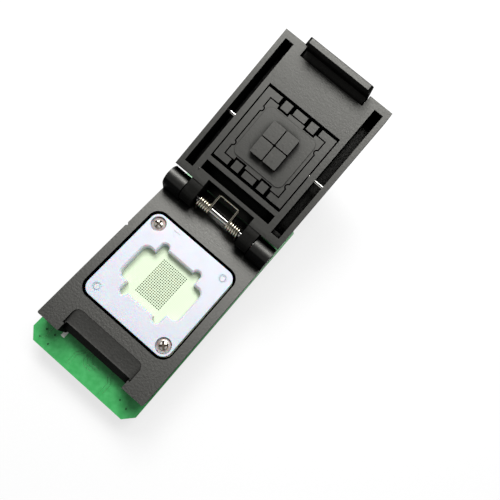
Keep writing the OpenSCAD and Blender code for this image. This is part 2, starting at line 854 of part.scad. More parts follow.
module pressure_plate() {
    color("dimgray")
    at_pusher()
    difference() {
        union() {
            linear_extrude(flange_z + flange_t) plate_face();
            translate([0, 0, flange_z + flange_t / 2])
                cube([2 * flange_x, 2 * flange_y, flange_t], center = true);
            round_plate(2 * plateau_x, 2 * plateau_y, 1.5, -plateau_h, plateau_h + eps);
            for (x = [-1, 1], y = [-1, 1])
                translate([x * (pad_w + pad_groove) / 4, y * (pad_l + pad_groove) / 4, 0])
                round_plate((pad_w - pad_groove) / 2, (pad_l - pad_groove) / 2, 0.25,
                    -pad_h, pad_h + eps);
        }
        for (x = [-1, 1], y = [-1, 1])
            translate([x * plate_spring_x, y * plate_spring_y, spring_seat_z])
            cylinder(h = pusher_t, d = plate_spring_d + 0.3);
    }
}

module plate_springs() {
    color("silver")
    at_pusher()
    for (x = [-1, 1], y = [-1, 1])
        translate([x * plate_spring_x, y * plate_spring_y, spring_seat_z + face_gap])
        coil_spring(pusher_pocket - spring_seat_z - 2 * face_gap, plate_spring_d,
            plate_spring_wire, plate_spring_turns);
}

// Side view of the latch: hook, boss round the pin and thumb lever
module latch_profile() {
    tip = -hook_h;
    under = tip + nose_h;
    inner = -hook_out + hook_top;
    nose = inner + nose_out;
    neck = -hook_out + neck_w;
    // Shoulder that rests on the wall of the lid's latch slot
    stop = -lid_far + latch_slot - 0.05;
    polygon([[-hook_out, tip + 0.3], [-hook_out + 0.3, tip], [inner, tip], [nose, under - 0.3], [nose, under],
        [neck, under + 0.05], [neck, 0.4], [stop, 0.9], [stop, 2.1],
        [-lever_in, 2.5], [-lever_in, lever_top],
        [-hook_out - lever_out, lever_top], [-hook_out - lever_out, lever_top - 1.2],
        [-hook_out, lever_top - 2.2]]);
    translate([-latch_axis_y, latch_axis_z]) circle(latch_boss_r);
}

module latch() {
    cut = 0.8;
    color("dimgray")
    at_lid()
    difference() {
        side_profile(latch_w) latch_profile();
        translate([-latch_w, -latch_axis_y, latch_axis_z])
            rotate([0, 90, 0]) cylinder(h = 2 * latch_w, d = latch_pin_d + 0.1);
        // Cut corners of the hook
        for (x = [-1, 1])
            translate([x * latch_w / 2, -hook_out, -hook_h])
            rotate([0, 45, 0])
            cube([cut, 8, cut], center = true);
        // The lever is narrower than the hook
        for (x = [-1, 1])
            translate([x * latch_w / 2, -hook_out - lever_out, lever_top])
            cube([6, 2 * lever_out, 8], center = true);
    }
}

module latch_pin() {
    length = 2 * (slot_in + 0.4);
    color("silver")
    at_lid()
    translate([-length / 2, -latch_axis_y, latch_axis_z])
    rotate([0, 90, 0])
    cylinder(h = length, d = latch_pin_d);
}

module latch_springs() {
    seat = lid_far - latch_slot - latch_spring_pocket;
    color("silver")
    at_lid()
    for (x = [-1, 1])
        translate([x * latch_spring_x, -seat - face_gap, latch_spring_z])
        rotate([90, 0, 0])
        coil_spring(lever_in - seat - 2 * face_gap, latch_spring_d, latch_spring_wire,
            latch_spring_turns);
}

circuit_board();
header_strip_left();
header_strip_right();
header_pins_left();
header_pins_right();
socket_base();
base_screws();
retainer_plate();
contact_pins();
contact_plate();
guide_frame();
frame_screws();
locating_pins();
hinge_pin();
hinge_spring();
lid();
pivot_pins();
pusher_frame();
pressure_plate();
plate_springs();
latch();
latch_pin();
latch_springs();
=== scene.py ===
# Clamshell test socket for memory chips, on its plug-in board, lying open as in the photograph.
import json
import math

import bmesh
import bpy
from mathutils import Matrix, Vector


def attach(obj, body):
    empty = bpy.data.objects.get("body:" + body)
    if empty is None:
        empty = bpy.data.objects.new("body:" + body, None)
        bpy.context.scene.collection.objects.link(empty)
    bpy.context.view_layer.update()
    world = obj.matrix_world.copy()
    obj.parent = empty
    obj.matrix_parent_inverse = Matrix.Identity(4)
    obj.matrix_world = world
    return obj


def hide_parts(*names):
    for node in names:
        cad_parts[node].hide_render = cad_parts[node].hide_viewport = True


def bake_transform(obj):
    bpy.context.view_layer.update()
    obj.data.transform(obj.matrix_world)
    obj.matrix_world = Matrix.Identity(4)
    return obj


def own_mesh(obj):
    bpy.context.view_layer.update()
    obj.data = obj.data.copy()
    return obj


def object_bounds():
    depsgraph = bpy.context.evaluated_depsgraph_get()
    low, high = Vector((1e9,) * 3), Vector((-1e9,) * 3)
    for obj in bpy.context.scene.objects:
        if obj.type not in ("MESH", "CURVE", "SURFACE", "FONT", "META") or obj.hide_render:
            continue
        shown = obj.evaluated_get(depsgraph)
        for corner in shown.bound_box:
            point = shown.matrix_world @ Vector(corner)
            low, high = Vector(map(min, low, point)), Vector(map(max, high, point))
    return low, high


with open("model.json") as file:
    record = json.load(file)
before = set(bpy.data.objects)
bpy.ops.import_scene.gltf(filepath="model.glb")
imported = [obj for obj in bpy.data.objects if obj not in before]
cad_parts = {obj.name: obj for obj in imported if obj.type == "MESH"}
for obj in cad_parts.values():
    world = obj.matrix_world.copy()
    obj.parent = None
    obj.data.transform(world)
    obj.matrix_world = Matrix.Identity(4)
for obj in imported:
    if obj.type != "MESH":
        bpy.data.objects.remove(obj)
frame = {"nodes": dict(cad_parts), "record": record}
nodes = frame["nodes"]
cad_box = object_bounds()
scene = bpy.context.scene
scene.view_settings.view_transform = "Standard"
MM = 0.001

# ---------------------------------------------------------------- camera
# A short lens straight above the hinge, tilted a little and turned by forty degrees.
camera_data = bpy.data.cameras.new("camera")
camera_data.lens = 32.22
camera_data.sensor_width = 36
camera_data.clip_start = 0.001
camera = bpy.data.objects.new("camera", camera_data)
scene.collection.objects.link(camera)
camera.location = (17.212 * MM, -13.719 * MM, 113.647 * MM)
camera.rotation_euler = [math.radians(angle) for angle in (14.763, -7.709, 39.981)]
scene.camera = camera


# ---------------------------------------------------------------- adapter board
# Printed circuit board under the socket: woven glass and epoxy, with copper traces under
# a green solder mask that was screened on and cured, so it is smooth and half glossy.
BOARD_TOP = 4.1 * MM


def linear(hex_colour):
    """Linear RGBA of an sRGB hex colour."""
    channels = [int(hex_colour[i:i + 2], 16) / 255 for i in (1, 3, 5)]
    return [c / 12.92 if c < 0.04045 else ((c + 0.055) / 1.055) ** 2.4 for c in channels] + [1]


def add(tree, kind, settings=None, **inputs):
    """A new node with its settings, input values and links; _6 stands for input number 6."""
    node = tree.nodes.new(kind)
    for key, value in (settings or {}).items():
        setattr(node, key, value)
    for key, value in inputs.items():
        socket = node.inputs[int(key[1:])] if key[0] == "_" else node.inputs[key.replace("_", " ")]
        if isinstance(value, bpy.types.NodeSocket):
            tree.links.new(value, socket)
        else:
            socket.default_value = value
    return node


def two_tone(tree, factor, dark, light, low=0.0, high=1.0):
    """Node that runs from one hex colour to the other between two levels of the factor."""
    ramp = add(tree, "ShaderNodeValToRGB", Fac=factor)
    for stop, level, colour in zip(ramp.color_ramp.elements, (low, high), (dark, light)):
        stop.position, stop.color = level, linear(colour)
    return ramp


def new_finish(name, **inputs):
    """Material with one shader, the shader's sockets set, and a socket of object coordinates."""
    material = bpy.data.materials.new(name)
    material.use_nodes = True
    tree = material.node_tree
    shader = tree.nodes["Principled BSDF"]
    for key, value in inputs.items():
        shader.inputs[key.replace("_", " ")].default_value = value
    place = add(tree, "ShaderNodeTexCoord").outputs["Object"]
    return material, tree, shader, place


def paint(node, material):
    """Gives a node of the frame its finish."""
    node_object = nodes[node]
    node_object.data.materials.clear()
    node_object.data.materials.append(material)
    return node_object


mask, tree, shader, place = new_finish(
    "solder_mask_screened_green", Roughness=0.38, IOR=1.5, Coat_Weight=0.3, Coat_Roughness=0.12)
weave = add(tree, "ShaderNodeTexNoise", Vector=place, Scale=900.0, Detail=3.0)
green = two_tone(tree, weave.outputs["Fac"], "#339e51", "#42ab5f", 0.35, 0.65)
ripple = add(tree, "ShaderNodeBump", Strength=0.15, Distance=0.05 * MM, Height=weave.outputs["Fac"])
tree.links.new(ripple.outputs["Normal"], shader.inputs["Normal"])
# The milled rim shows the bare laminate
facing = add(tree, "ShaderNodeSeparateXYZ", Vector=add(tree, "ShaderNodeTexCoord").outputs["Normal"])
upright = add(tree, "ShaderNodeMath", {"operation": "ABSOLUTE"}, _0=facing.outputs["Z"])
flat = add(tree, "ShaderNodeMath", {"operation": "GREATER_THAN"}, _0=upright.outputs["Value"], _1=0.5)
skin_or_core = add(tree, "ShaderNodeMix", {"data_type": "RGBA"}, Factor=flat.outputs["Value"],
                   _6=linear("#8d9468"), _7=green.outputs["Color"])
# Painted shade: the mask's colour darkens where other parts stand close over it, as under the lid and beside
# the base
mask_painted_shade = add(tree, "ShaderNodeMapRange",
                Value=add(tree, "ShaderNodeAmbientOcclusion", {"samples": 8}, Distance=14 * MM).outputs["AO"],
                From_Min=0.25, From_Max=0.6)
mask_colour_with_painted_shade = add(tree, "ShaderNodeVectorMath", {"operation": "SCALE"},
                Vector=skin_or_core.outputs[2], Scale=mask_painted_shade.outputs["Result"])
tree.links.new(mask_colour_with_painted_shade.outputs["Vector"], shader.inputs["Base Color"])
paint("circuit_board", mask)

# Tree that draws a round wire along the edges of its mesh
wire_tree = bpy.data.node_groups.new("bent_wire", "GeometryNodeTree")
wire_tree.interface.new_socket("Path", in_out="INPUT", socket_type="NodeSocketGeometry")
wire_tree.interface.new_socket("Wire Radius", in_out="INPUT", socket_type="NodeSocketFloat")
wire_tree.interface.new_socket("Sides", in_out="INPUT", socket_type="NodeSocketInt")
wire_tree.interface.new_socket("Finish", in_out="INPUT", socket_type="NodeSocketMaterial")
wire_tree.interface.new_socket("Wire", in_out="OUTPUT", socket_type="NodeSocketGeometry")
given = add(wire_tree, "NodeGroupInput")
path = add(wire_tree, "GeometryNodeMeshToCurve", Mesh=given.outputs["Path"])
section = add(wire_tree, "GeometryNodeCurvePrimitiveCircle",
              Resolution=given.outputs["Sides"], Radius=given.outputs["Wire Radius"])
swept = add(wire_tree, "GeometryNodeCurveToMesh", Curve=path.outputs["Curve"],
            Profile_Curve=section.outputs["Curve"], Fill_Caps=True)
real = add(wire_tree, "GeometryNodeRealizeInstances", Geometry=swept.outputs["Mesh"])
coated = add(wire_tree, "GeometryNodeSetMaterial", Geometry=real.outputs["Geometry"],
             Material=given.outputs["Finish"])
add(wire_tree, "NodeGroupOutput", Wire=coated.outputs["Geometry"])


def grown(name, mesh, node_tree, values):
    """Plain mesh object of what a node tree makes on that mesh, its inputs set by name."""
    seed = bpy.data.objects.new(name + "_seed", mesh)
    scene.collection.objects.link(seed)
    modifier = seed.modifiers.new("grow", "NODES")
    modifier.node_group = node_tree
    for item in node_tree.interface.items_tree:
        if item.in_out == "INPUT" and item.name in values:
            modifier[item.identifier] = values[item.name]
    seed.update_tag()
    bpy.context.view_layer.update()
    result = bpy.data.meshes.new_from_object(seed.evaluated_get(bpy.context.evaluated_depsgraph_get()))
    result.name = name
    bpy.data.objects.remove(seed)
    result.shade_smooth()
    result.set_sharp_from_angle(angle=math.radians(50))
    piece = bpy.data.objects.new(name, result)
    scene.collection.objects.link(piece)
    return piece


def line_mesh(name, points):
    """Mesh of one line along the points."""
    mesh = bpy.data.meshes.new(name)
    mesh.from_pydata(points, [(i, i + 1) for i in range(len(points) - 1)], [])
    return mesh


# Copper traces that show through the mask between the latch notch and the board's edge
BOARD_TRACES = (
    ((-3.4, -22.5), (-3.4, -26.2), (-4.6, -27.4), (-4.6, -30.6)),
    ((-2.9, -22.5), (-2.9, -26.6), (-3.9, -27.6), (-3.9, -30.9)),
    ((-2.2, -22.5), (-2.2, -27.4), (-1.2, -28.4), (0.8, -28.4)),
    ((-1.6, -22.5), (-1.6, -26.8), (-0.8, -27.6), (1.6, -27.6)),
    ((-0.9, -22.5), (-0.9, -26.0), (0.2, -26.9), (2.4, -26.9)),
    ((4.7, -22.5), (4.7, -26.9), (5.6, -27.8), (5.6, -30.8)),
    ((5.3, -22.5), (5.3, -26.5), (6.4, -27.6), (6.4, -30.2)),
    ((-12.2, -25.0), (-12.2, -29.4), (-13.1, -29.9)),
)
for number, corners in enumerate(BOARD_TRACES):
    path = line_mesh("trace_path_%d" % number, [(x * MM, y * MM, BOARD_TOP) for x, y in corners])
    trace = grown("board_trace_%d" % number, path, wire_tree,
                  {"Wire Radius": 0.075 * MM, "Sides": 8, "Finish": mask})
    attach(trace, "base")

# Small through-plated holes under the mask, each a raised ring round a dark disc: the hole's plating,
# coloured as painted shade inside the hole
VIA_PLACES = ((-13.13, -29.94), (-13.12, -27.84), (-10.8, -27.65), (-10.5, -30.05),
              (10.34, -28.64), (12.7, -29.19))
plated, tree, shader, place = new_finish("copper_plated_hole_painted_shade", Metallic=0.6)
hole_mottle = add(tree, "ShaderNodeTexNoise", Vector=place, Scale=4000.0, Detail=1.0)
dull = two_tone(tree, hole_mottle.outputs["Fac"], "#0c2a14", "#23502e")
tree.links.new(dull.outputs["Color"], shader.inputs["Base Color"])
via_tree = bpy.data.node_groups.new("plated_holes", "GeometryNodeTree")
via_tree.interface.new_socket("Places", in_out="INPUT", socket_type="NodeSocketGeometry")
via_tree.interface.new_socket("Ring Radius", in_out="INPUT", socket_type="NodeSocketFloat")
via_tree.interface.new_socket("Hole Radius", in_out="INPUT", socket_type="NodeSocketFloat")
via_tree.interface.new_socket("Rise", in_out="INPUT", socket_type="NodeSocketFloat")
via_tree.interface.new_socket("Ring Finish", in_out="INPUT", socket_type="NodeSocketMaterial")
via_tree.interface.new_socket("Hole Finish", in_out="INPUT", socket_type="NodeSocketMaterial")
via_tree.interface.new_socket("Holes", in_out="OUTPUT", socket_type="NodeSocketGeometry")
given = add(via_tree, "NodeGroupInput")
double = add(via_tree, "ShaderNodeMath", {"operation": "MULTIPLY"}, _0=given.outputs["Rise"], _1=1.6)
ring = add(via_tree, "GeometryNodeMeshCylinder", Vertices=20, Radius=given.outputs["Ring Radius"],
           Depth=given.outputs["Rise"])
plug = add(via_tree, "GeometryNodeMeshCylinder", Vertices=14, Radius=given.outputs["Hole Radius"],
           Depth=double.outputs["Value"])
ring_set = add(via_tree, "GeometryNodeSetMaterial", Geometry=ring.outputs["Mesh"],
               Material=given.outputs["Ring Finish"])
plug_set = add(via_tree, "GeometryNodeSetMaterial", Geometry=plug.outputs["Mesh"],
               Material=given.outputs["Hole Finish"])
pair = add(via_tree, "GeometryNodeJoinGeometry")
via_tree.links.new(ring_set.outputs["Geometry"], pair.inputs["Geometry"])
via_tree.links.new(plug_set.outputs["Geometry"], pair.inputs["Geometry"])
spread = add(via_tree, "GeometryNodeInstanceOnPoints", Points=given.outputs["Places"],
             Instance=pair.outputs["Geometry"])
real = add(via_tree, "GeometryNodeRealizeInstances", Geometry=spread.outputs["Instances"])
add(via_tree, "NodeGroupOutput", Holes=real.outputs["Geometry"])
via_points = bpy.data.meshes.new("via_places")
via_points.from_pydata([(x * MM, y * MM, BOARD_TOP) for x, y in VIA_PLACES], [], [])
vias = grown("board_vias", via_points, via_tree,
             {"Ring Radius": 0.38 * MM, "Hole Radius": 0.2 * MM, "Rise": 0.05 * MM,
              "Ring Finish": mask, "Hole Finish": plated})
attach(vias, "base")

# Plain rectangle of white marking ink that shows where the first contact is
ink, tree, shader, place = new_finish("marking_ink_screened_white", Roughness=0.6)
mesh_print = add(tree, "ShaderNodeTexNoise", Vector=place, Scale=5000.0, Detail=1.0)
chalk = two_tone(tree, mesh_print.outputs["Fac"], "#d9dfd6", "#f2f5ef")
tree.links.new(chalk.outputs["Color"], shader.inputs["Base Color"])
INK_X, INK_Y, INK_T = -9.35 * MM, -26.1 * MM, 0.02 * MM
INK_WIDE, INK_LONG = 1.0 * MM, 1.5 * MM
work = bmesh.new()
bmesh.ops.create_cube(work, size=1.0, matrix=Matrix.Translation((INK_X, INK_Y, BOARD_TOP + INK_T / 2))
                      @ Matrix.Diagonal((INK_WIDE, INK_LONG, INK_T, 1)))
ink_mesh = bpy.data.meshes.new("board_first_mark")
work.to_mesh(ink_mesh)
work.free()
ink_mesh.materials.append(ink)
ink_mark = bpy.data.objects.new("board_first_mark", ink_mesh)
scene.collection.objects.link(ink_mark)
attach(ink_mark, "base")


# ---------------------------------------------------------------- header strips
# Two strips of black moulded nylon under the board, each with turned brass pins that were
# plated with gold and pressed in. They plug into the programmer.
nylon, tree, shader, place = new_finish("nylon_moulded_black", Roughness=0.5, IOR=1.53)
flow = add(tree, "ShaderNodeTexNoise", Vector=place, Scale=700.0, Detail=2.0)
black = two_tone(tree, flow.outputs["Fac"], "#161616", "#232322")
tree.links.new(black.outputs["Color"], shader.inputs["Base Color"])
gold, tree, shader, place = new_finish("gold_plated_turned_brass", Metallic=1.0)
rings = add(tree, "ShaderNodeTexNoise", Vector=place, Scale=3000.0, Detail=1.0)
tint = two_tone(tree, rings.outputs["Fac"], "#d9ad55", "#f2cf86")
tree.links.new(tint.outputs["Color"], shader.inputs["Base Color"])
rough = add(tree, "ShaderNodeMapRange", Value=rings.outputs["Fac"], To_Min=0.2, To_Max=0.34)
tree.links.new(rough.outputs["Result"], shader.inputs["Roughness"])
for side in ("left", "right"):
    paint("header_strip_" + side, nylon)
    paint("header_pins_" + side, gold)


# ---------------------------------------------------------------- socket base
# The lower half of the clamshell: one moulding in black glass-filled plastic. Its tool was
# spark-eroded, so the outside is evenly grainy and scatters light, while edges wear smooth.
body_of_node = {node: body for body, list_of_nodes in frame["record"]["behaviour"]["bodies"].items()
                for node in list_of_nodes}


def moulded(node, name, finish, edge, segments=2):
    """Merged copy of a frame node with its edges rounded, standing for the node."""
    source = nodes[node].data
    work = bmesh.new()
    corners = [work.verts.new(vertex.co) for vertex in source.vertices]
    for polygon in source.polygons:
        work.faces.new([corners[i] for i in polygon.vertices])
    bmesh.ops.remove_doubles(work, verts=work.verts, dist=1e-6)
    mesh = bpy.data.meshes.new(name)
    work.to_mesh(mesh)
    work.free()
    mesh.shade_smooth()
    mesh.set_sharp_from_angle(angle=math.radians(28))
    mesh.materials.append(finish)
    piece = bpy.data.objects.new(name, mesh)
    scene.collection.objects.link(piece)
    if edge:
        rounding = piece.modifiers.new("edges", "BEVEL")
        rounding.width = edge
        rounding.segments = segments
        rounding.limit_method = "ANGLE"
        rounding.angle_limit = math.radians(40)
        rounding.harden_normals = True
        rounding.miter_outer = "MITER_ARC"
    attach(piece, body_of_node[node])
    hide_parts(node)
    return piece


BASE_TOP = 11.5 * MM


def openness(tree, reach, low, high):
    """Socket from 0 in a recess to 1 on open faces, judged over that reach."""
    nearby = add(tree, "ShaderNodeAmbientOcclusion", {"samples": 8}, Distance=reach)
    share = add(tree, "ShaderNodeMapRange", Value=nearby.outputs["AO"], From_Min=low, From_Max=high)
    return share.outputs["Result"]


def black_plastic(name, dark, light, roughness, grain, depth, shine=1.0):
    """Grainy black moulding, with painted shade in its recesses and on upright walls, whose sheen is cut."""
    material, tree, shader, place = new_finish(name, IOR=1.5, Specular_Tint=(1, 0.99, 0.93, 1))
    skin = add(tree, "ShaderNodeTexNoise", Vector=place, Scale=1 / grain, Detail=4.0, Roughness=0.6)
    patches = add(tree, "ShaderNodeTexNoise", Vector=place, Scale=180.0, Detail=2.0)
    both = add(tree, "ShaderNodeMath", {"operation": "MULTIPLY_ADD"},
               _0=skin.outputs["Fac"], _1=0.7, _2=0.15)
    mixed = add(tree, "ShaderNodeMath", {"operation": "MULTIPLY_ADD"},
                _0=patches.outputs["Fac"], _1=0.3, _2=both.outputs["Value"])
    colour = two_tone(tree, mixed.outputs["Value"], dark, light, 0.4, 0.85)
    # Painted shade: colour and sheen fade out in recesses
    recess_painted_shade = openness(tree, 3 * MM, 0.4, 0.9)
    shaded = add(tree, "ShaderNodeVectorMath", {"operation": "SCALE"},
                 Vector=colour.outputs["Color"], Scale=recess_painted_shade)
    tree.links.new(shaded.outputs["Vector"], shader.inputs["Base Color"])
    # Painted shade on upright faces: the sheen is kept to faces that lie flat
    turned = add(tree, "ShaderNodeSeparateXYZ", Vector=add(tree, "ShaderNodeTexCoord").outputs["Normal"])
    upward = add(tree, "ShaderNodeMath", {"operation": "ABSOLUTE"}, _0=turned.outputs["Z"])
    painted_sheen_by_facing = add(tree, "ShaderNodeMapRange", Value=upward.outputs["Value"],
                    From_Min=0.7, From_Max=0.93, To_Min=0.01, To_Max=shine)
    sheen = add(tree, "ShaderNodeMath", {"operation": "MULTIPLY"},
                _0=painted_sheen_by_facing.outputs["Result"], _1=recess_painted_shade)
    tree.links.new(sheen.outputs["Value"], shader.inputs["Specular IOR Level"])
    rough = add(tree, "ShaderNodeMapRange", Value=skin.outputs["Fac"],
                To_Min=roughness - 0.08, To_Max=roughness + 0.12)
    tree.links.new(rough.outputs["Result"], shader.inputs["Roughness"])
    relief = add(tree, "ShaderNodeBump", Strength=0.5, Distance=depth, Height=skin.outputs["Fac"])
    tree.links.new(relief.outputs["Normal"], shader.inputs["Normal"])
    return material


# The real grain is about 0.06 mm wide; half a millimetre is the finest that shows in a picture
spark_textured = black_plastic("glass_filled_plastic_spark_textured", "#0b0b0a", "#161615",
                               0.46, 0.5 * MM, 0.11 * MM)
half_gloss = black_plastic("glass_filled_plastic_polished_tool", "#060606", "#0e0e0e",
                           0.38, 0.5 * MM, 0.01 * MM, 0.6)
base_piece = moulded("socket_base", "socket_base_moulding", spark_textured, 0.14 * MM)
# The hinge barrels come from a polished part of the tool
base_piece.data.materials.append(half_gloss)
for polygon in base_piece.data.polygons:
    if polygon.center.z > BASE_TOP + 0.04 * MM:
        polygon.material_index = 1


# ---------------------------------------------------------------- screws
# Pan-head machine screws, cold-headed from steel and nickel-plated: four hold the base to
# the board from below, two hold the guide frame. The frame screws' cross recess is dark brown.
nickel, tree, shader, place = new_finish("nickel_plated_steel_cold_headed", Metallic=1.0)
film = add(tree, "ShaderNodeTexNoise", Vector=place, Scale=1400.0, Detail=3.0)
metal = two_tone(tree, film.outputs["Fac"], "#cfc9bc", "#efede8", 0.3, 0.6)
tree.links.new(metal.outputs["Color"], shader.inputs["Base Color"])
rough = add(tree, "ShaderNodeMapRange", Value=film.outputs["Fac"], To_Min=0.3, To_Max=0.48)
tree.links.new(rough.outputs["Result"], shader.inputs["Roughness"])
# Dark brown finish for the cross recess
recess_dark_brown, tree, shader, place = new_finish("nickel_plated_steel_recess_dark_brown", Roughness=0.55)
recess_mottle = add(tree, "ShaderNodeTexNoise", Vector=place, Scale=2500.0, Detail=2.0)
brown = two_tone(tree, recess_mottle.outputs["Fac"], "#1d150d", "#5a4c3a")
tree.links.new(brown.outputs["Color"], shader.inputs["Base Color"])
moulded("base_screws", "base_screw_set", nickel, 0.06 * MM)
frame_screws = moulded("frame_screws", "frame_screw_set", nickel, 0.06 * MM)
# The recess faces lie close to the screw's axis and below the top of its head
frame_screws.data.materials.append(recess_dark_brown)
FRAME_SCREW_PLACES = ((10 * MM, -13.55 * MM), (-10 * MM, 6.45 * MM))
RECESS_R, RECESS_TOP, RECESS_DEEP = 1.1 * MM, 0.15 * MM, 1.3 * MM
HEAD_TOP = max(corner.co.z for corner in frame_screws.data.vertices)
for polygon in frame_screws.data.polygons:
    reach = min(math.dist(polygon.center[:2], axis) for axis in FRAME_SCREW_PLACES)
    if reach < RECESS_R and RECESS_TOP < HEAD_TOP - polygon.center.z < RECESS_DEEP:
        polygon.material_index = 1


# ---------------------------------------------------------------- contacts
# Gold-plated contacts stand in a drilled laminate and reach into the holes of the pale
# green contact plate, a thin glass-epoxy sheet that was sanded and drilled.


def painted_corner_shade(tree, colour):
    """Socket of that colour with painted shade: a little darker in inner corners."""
    corner = openness(tree, 0.9 * MM, 0.3, 0.9)
    tone = add(tree, "ShaderNodeMapRange", Value=corner, To_Min=0.85, To_Max=1.0)
    return add(tree, "ShaderNodeVectorMath", {"operation": "SCALE"},
               Vector=colour, Scale=tone.outputs["Result"]).outputs["Vector"]


def laminate(name, dark, light, roughness):
    """Drilled sheet of woven glass and epoxy, threads a fifth of a millimetre apart."""
    material, tree, shader, place = new_finish(name, Roughness=roughness, IOR=1.5)
    threads = add(tree, "ShaderNodeTexWave", {"bands_direction": "X"},
                  Vector=place, Scale=800.0, Distortion=1.2, Detail=1.0)
    picks = add(tree, "ShaderNodeTexWave", {"bands_direction": "Y"},
                Vector=place, Scale=800.0, Distortion=1.2, Detail=1.0)
    cloth = add(tree, "ShaderNodeMath", {"operation": "MULTIPLY"},
                _0=threads.outputs["Fac"], _1=picks.outputs["Fac"])
    colour = two_tone(tree, cloth.outputs["Value"], dark, light)
    # Painted shade in the sheet's inner corners
    tree.links.new(painted_corner_shade(tree, colour.outputs["Color"]), shader.inputs["Base Color"])
    return material


paint("retainer_plate", laminate("glass_epoxy_drilled_tan", "#a08f58", "#b8a878", 0.6))
paint("contact_plate", laminate("glass_epoxy_drilled_pale_green", "#ccdbbe", "#d3e3c6", 0.6))
paint("contact_pins", gold)


# ---------------------------------------------------------------- guide frame
# White acetal frame that centres the chip: milled and deburred, smooth and a little waxy,
# with two white dowels that locate it beside its two screws.
acetal, tree, shader, place = new_finish("acetal_milled_white", Roughness=0.42, IOR=1.48,
                                         Subsurface_Weight=0.6, Subsurface_Scale=1.6 * MM)
cloud = add(tree, "ShaderNodeTexNoise", Vector=place, Scale=260.0, Detail=2.0)
white = two_tone(tree, cloud.outputs["Fac"], "#c8cad3", "#d0d2da")
# Painted shade in the frame's inner corners
tree.links.new(painted_corner_shade(tree, white.outputs["Color"]), shader.inputs["Base Color"])
cutter = add(tree, "ShaderNodeBump", Strength=0.1, Distance=0.02 * MM, Height=cloud.outputs["Fac"])
tree.links.new(cutter.outputs["Normal"], shader.inputs["Normal"])
moulded("guide_frame", "guide_frame_milled", acetal, 0.1 * MM)
moulded("locating_pins", "locating_dowels", acetal, 0.08 * MM)
# Painted light: a thin white ring in the gap round each dowel's end, just below the frame's face, lightens
# the shade in that gap
GAP_RING_IN, GAP_RING_OUT, GAP_RING_TOP = 0.79 * MM, 1.06 * MM, 10.95 * MM
GAP_RING_SLOPE, GAP_RING_DEEP = 0.03 * MM, 0.4 * MM
for number, (x, y) in enumerate(((10, 6.45), (-10, -13.55))):
    work = bmesh.new()
    rims = []
    for radius, height in ((GAP_RING_IN, 0), (GAP_RING_OUT, -GAP_RING_SLOPE),
                           (GAP_RING_OUT, -GAP_RING_DEEP), (GAP_RING_IN, -GAP_RING_DEEP)):
        rims.append([work.verts.new((x * MM + radius * math.cos(turn * math.pi / 20),
                                     y * MM + radius * math.sin(turn * math.pi / 20),
                                     GAP_RING_TOP + height)) for turn in range(40)])
    for inner, outer in zip(rims, rims[1:] + rims[:1]):
        for i in range(40):
            work.faces.new((inner[i], outer[i], outer[(i + 1) % 40], inner[(i + 1) % 40]))
    gap_ring_mesh = bpy.data.meshes.new("dowel_gap_light_ring_%d" % number)
    work.to_mesh(gap_ring_mesh)
    work.free()
    gap_ring_mesh.shade_smooth()
    gap_ring_mesh.set_sharp_from_angle(angle=math.radians(40))
    gap_ring_mesh.materials.append(acetal)
    gap_light_ring = bpy.data.objects.new("dowel_gap_light_ring_%d" % number, gap_ring_mesh)
    scene.collection.objects.link(gap_light_ring)
    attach(gap_light_ring, "base")


# ---------------------------------------------------------------- hinge
# A ground steel pin through the barrels of the base and the lugs of the lid. On it sits the
# lid spring, one piece of drawn wire: foot, coil, bridge, coil, foot.
ground, tree, shader, place = new_finish("steel_ground_bright", Metallic=1.0)
stretched = add(tree, "ShaderNodeMapping", Vector=place, Scale=(200, 6000, 6000))
grinding = add(tree, "ShaderNodeTexNoise", Vector=stretched.outputs["Vector"], Scale=1.0, Detail=2.0)
bright = two_tone(tree, grinding.outputs["Fac"], "#8b8a87", "#b5b4b0")
tree.links.new(bright.outputs["Color"], shader.inputs["Base Color"])
rough = add(tree, "ShaderNodeMapRange", Value=grinding.outputs["Fac"], To_Min=0.12, To_Max=0.22)
tree.links.new(rough.outputs["Result"], shader.inputs["Roughness"])
for node in ("hinge_pin", "pivot_pins", "latch_pin"):
    paint(node, ground)

drawn, tree, shader, place = new_finish("spring_steel_drawn", Metallic=1.0)
die_marks = add(tree, "ShaderNodeTexNoise", Vector=place, Scale=2500.0, Detail=2.0)
cream = two_tone(tree, die_marks.outputs["Fac"], "#8f8a7b", "#bdb7a8")
tree.links.new(cream.outputs["Color"], shader.inputs["Base Color"])
rough = add(tree, "ShaderNodeMapRange", Value=die_marks.outputs["Fac"], To_Min=0.14, To_Max=0.24)
tree.links.new(rough.outputs["Result"], shader.inputs["Roughness"])

HINGE_Y, HINGE_Z = 16.45 * MM, 14.5 * MM
SPRING_WIRE = 0.6 * MM
COIL_R = 1.22 * MM
COIL_TURNS = 5.25
COIL_OUTER = 6.0 * MM
COIL_INNER = COIL_OUTER - COIL_TURNS * (SPRING_WIRE + 0.01 * MM)
LEAN = math.radians(180 - 161.2)
ARM = 3.7 * MM
STEPS = 28


